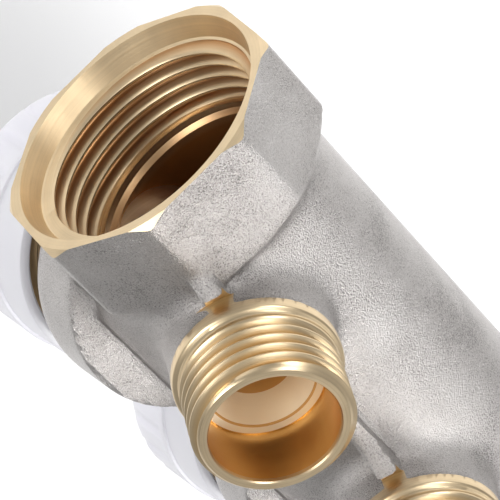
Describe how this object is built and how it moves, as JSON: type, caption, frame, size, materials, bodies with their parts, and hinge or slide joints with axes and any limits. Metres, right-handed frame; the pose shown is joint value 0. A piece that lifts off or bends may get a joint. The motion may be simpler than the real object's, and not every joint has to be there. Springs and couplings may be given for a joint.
{
  "type": "distribution manifold",
  "caption": "Nickel-plated brass manifold bar with an octagonal female end, male threaded outlets, and a hand-knob shut-off valve under each outlet.",
  "frame": {"origin": "centre of the octagonal female end's face", "axes": "+X along the bar away from the female end, +Z the way the outlets point, valves towards -Z and -Y"},
  "size_m": [0.142, 0.0602, 0.074],
  "materials": {
    "nickel_plated_brass": "sandblasted nickel plate, bare turned brass on threads and faces",
    "turned_brass": "satin turned",
    "stainless_steel": "bright drawn",
    "black_rubber": "matte",
    "white_plastic": "satin, slightly translucent"
  },
  "bodies": {
    "manifold": {"manifold_body": "nickel_plated_brass", "end_seal_ring": "black_rubber", "bonnet_1": "nickel_plated_brass", "bonnet_seal_ring_1": "black_rubber", "spindle_seal_ring_1": "black_rubber", "return_spring_1": "stainless_steel", "bonnet_2": "nickel_plated_brass", "bonnet_seal_ring_2": "black_rubber", "spindle_seal_ring_2": "black_rubber", "return_spring_2": "stainless_steel", "bonnet_3": "nickel_plated_brass", "bonnet_seal_ring_3": "black_rubber", "spindle_seal_ring_3": "black_rubber", "return_spring_3": "stainless_steel"},
    "stem_1": {"spindle_1": "stainless_steel", "disc_holder_1": "turned_brass", "disc_seal_1": "black_rubber", "spring_cup_1": "turned_brass"},
    "knob_1_body": {"knob_1": "white_plastic", "knob_thread_ring_1": "turned_brass", "knob_thrust_pad_1": "stainless_steel", "knob_cover_1": "white_plastic"},
    "stem_2": {"spindle_2": "stainless_steel", "disc_holder_2": "turned_brass", "disc_seal_2": "black_rubber", "spring_cup_2": "turned_brass"},
    "knob_2_body": {"knob_2": "white_plastic", "knob_thread_ring_2": "turned_brass", "knob_thrust_pad_2": "stainless_steel", "knob_cover_2": "white_plastic"},
    "stem_3": {"spindle_3": "stainless_steel", "disc_holder_3": "turned_brass", "disc_seal_3": "black_rubber", "spring_cup_3": "turned_brass"},
    "knob_3_body": {"knob_3": "white_plastic", "knob_thread_ring_3": "turned_brass", "knob_thrust_pad_3": "stainless_steel", "knob_cover_3": "white_plastic"}
  },
  "joints": [
    {"name": "stem_1_lift", "type": "slide", "parent": "manifold", "child": "stem_1", "axis": [0, -0.4226, -0.9063], "range_m": [0, 0.003], "deforming": ["return_spring_1"]},
    {"name": "knob_1_turn", "type": "hinge", "parent": "stem_1", "child": "knob_1_body", "pos_m": [0.026, -0.01879, -0.02172], "axis": [0, -0.4226, -0.9063], "range_deg": [0, 720]},
    {"name": "stem_2_lift", "type": "slide", "parent": "manifold", "child": "stem_2", "axis": [0, -0.4226, -0.9063], "range_m": [0, 0.003], "deforming": ["return_spring_2"]},
    {"name": "knob_2_turn", "type": "hinge", "parent": "stem_2", "child": "knob_2_body", "pos_m": [0.066, -0.01879, -0.02172], "axis": [0, -0.4226, -0.9063], "range_deg": [0, 720]},
    {"name": "stem_3_lift", "type": "slide", "parent": "manifold", "child": "stem_3", "axis": [0, -0.4226, -0.9063], "range_m": [0, 0.003], "deforming": ["return_spring_3"]},
    {"name": "knob_3_turn", "type": "hinge", "parent": "stem_3", "child": "knob_3_body", "pos_m": [0.106, -0.01879, -0.02172], "axis": [0, -0.4226, -0.9063], "range_deg": [0, 720]}
  ],
  "couplings": [
    {"joint": "knob_1_turn", "follows": "stem_1_lift", "rad_per_m": 4188.8},
    {"joint": "knob_2_turn", "follows": "stem_2_lift", "rad_per_m": 4188.8},
    {"joint": "knob_3_turn", "follows": "stem_3_lift", "rad_per_m": 4188.8}
  ]
}
